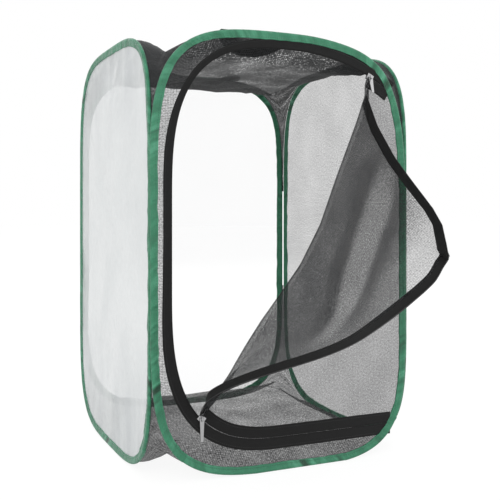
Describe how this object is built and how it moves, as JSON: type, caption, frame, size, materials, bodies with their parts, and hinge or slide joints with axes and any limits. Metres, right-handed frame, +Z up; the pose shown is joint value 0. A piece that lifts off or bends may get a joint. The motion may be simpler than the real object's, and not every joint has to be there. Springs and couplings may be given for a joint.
{
  "type": "insect cage",
  "caption": "Pop-up cage of sprung wire loops in cloth binding with mesh and clear film walls, a zipped corner door folded open and webbing handles.",
  "frame": {"origin": "centre of the cage's square base, at the height of the floor it stands on", "axes": "+Z up, -Y out of the wall with the zipped door, +X to the right as seen from in front"},
  "size_m": [0.435, 0.4831, 0.6087],
  "materials": {
    "green_binding": "smooth woven polyester binding",
    "spring_steel": "flat spring wire, plain",
    "black_mesh": "fine open netting",
    "clear_film": "soft clear plastic film, slightly milky",
    "black_tape": "woven zip tape, matt",
    "black_coil": "moulded nylon coil",
    "black_webbing": "woven webbing, matt",
    "slider_metal": "dark plated metal"
  },
  "bodies": {
    "front_wall": {"front_binding": "green_binding", "front_binding_lap": "green_binding", "front_wire_loop": "spring_steel", "front_mesh_surround": "black_mesh", "front_zip_tape": "black_tape", "front_zip_coil": "black_coil", "door_mesh_fixed": "black_mesh", "door_zip_tape_upper": "black_tape", "door_zip_tape_lower": "black_tape", "door_zip_coil_upper": "black_coil", "door_zip_coil_lower": "black_coil", "upper_slider": "slider_metal", "lower_slider": "slider_metal", "roof_mesh": "black_mesh", "floor_mesh": "black_mesh"},
    "left_wall": {"left_binding": "green_binding", "left_binding_lap": "green_binding", "left_wire_loop": "spring_steel", "left_clear_wall": "clear_film"},
    "right_wall": {"right_binding": "green_binding", "right_binding_lap": "green_binding", "right_wire_loop": "spring_steel", "right_mesh_wall": "black_mesh"},
    "back_wall": {"back_binding": "green_binding", "back_binding_lap": "green_binding", "back_wire_loop": "spring_steel", "back_clear_wall": "clear_film"},
    "door_flap": {"door_mesh_flap": "black_mesh", "door_zip_tape_flap": "black_tape", "door_zip_coil_flap": "black_coil"},
    "door_corner": {"door_mesh_corner": "black_mesh", "door_zip_tape_corner": "black_tape", "door_zip_coil_corner": "black_coil"},
    "upper_pull": {"upper_pull": "slider_metal"},
    "lower_pull": {"lower_pull": "slider_metal"},
    "front_handle": {"front_handle": "black_webbing"},
    "back_handle": {"back_handle": "black_webbing"}
  },
  "joints": [
    {"name": "left_wall_fold", "type": "hinge", "parent": "front_wall", "child": "left_wall", "pos_m": [-0.19485, -0.19485, 0], "axis": [0, 0, -1], "range_deg": [0, 90], "deforming": ["roof_mesh", "floor_mesh", "front_handle", "back_handle"]},
    {"name": "right_wall_fold", "type": "hinge", "parent": "front_wall", "child": "right_wall", "pos_m": [0.19485, -0.19485, 0], "axis": [0, 0, -1], "range_deg": [0, 90]},
    {"name": "back_wall_fold", "type": "hinge", "parent": "right_wall", "child": "back_wall", "pos_m": [0.19485, 0.19485, 0], "axis": [0, 0, -1], "range_deg": [-90, 0]},
    {"name": "door_flap_turn", "type": "hinge", "parent": "front_wall", "child": "door_flap", "pos_m": [0.132, -0.19825, 0.54792], "axis": [0.4897, 0, 0.8719], "range_deg": [-166, 0]},
    {"name": "door_corner_turn", "type": "hinge", "parent": "door_flap", "child": "door_corner", "pos_m": [0.13168, -0.1997, 0.5481], "axis": [0.3539, -0.1888, -0.9161], "range_deg": [-120, 0]},
    {"name": "upper_pull_swing", "type": "hinge", "parent": "front_wall", "child": "upper_pull", "pos_m": [0.132, -0.2001, 0.54792], "axis": [-1, 0, 0], "range_deg": [0, 120]},
    {"name": "lower_pull_swing", "type": "hinge", "parent": "front_wall", "child": "lower_pull", "pos_m": [-0.12909, -0.2001, 0.08304], "axis": [-1, 0, 0], "range_deg": [0, 120]},
    {"name": "front_handle_swing", "type": "hinge", "parent": "front_wall", "child": "front_handle", "pos_m": [-0.033, -0.1947, 0.59719], "axis": [1, 0, 0], "range_deg": [0, 120]},
    {"name": "back_handle_swing", "type": "hinge", "parent": "back_wall", "child": "back_handle", "pos_m": [0, 0.1947, 0.59719], "axis": [-1, 0, 0], "range_deg": [0, 120]}
  ],
  "couplings": [
    {"joint": "right_wall_fold", "follows": "left_wall_fold", "ratio": 1},
    {"joint": "back_wall_fold", "follows": "left_wall_fold", "ratio": -1},
    {"joint": "door_corner_turn", "follows": "door_flap_turn", "ratio": 0.72289}
  ]
}
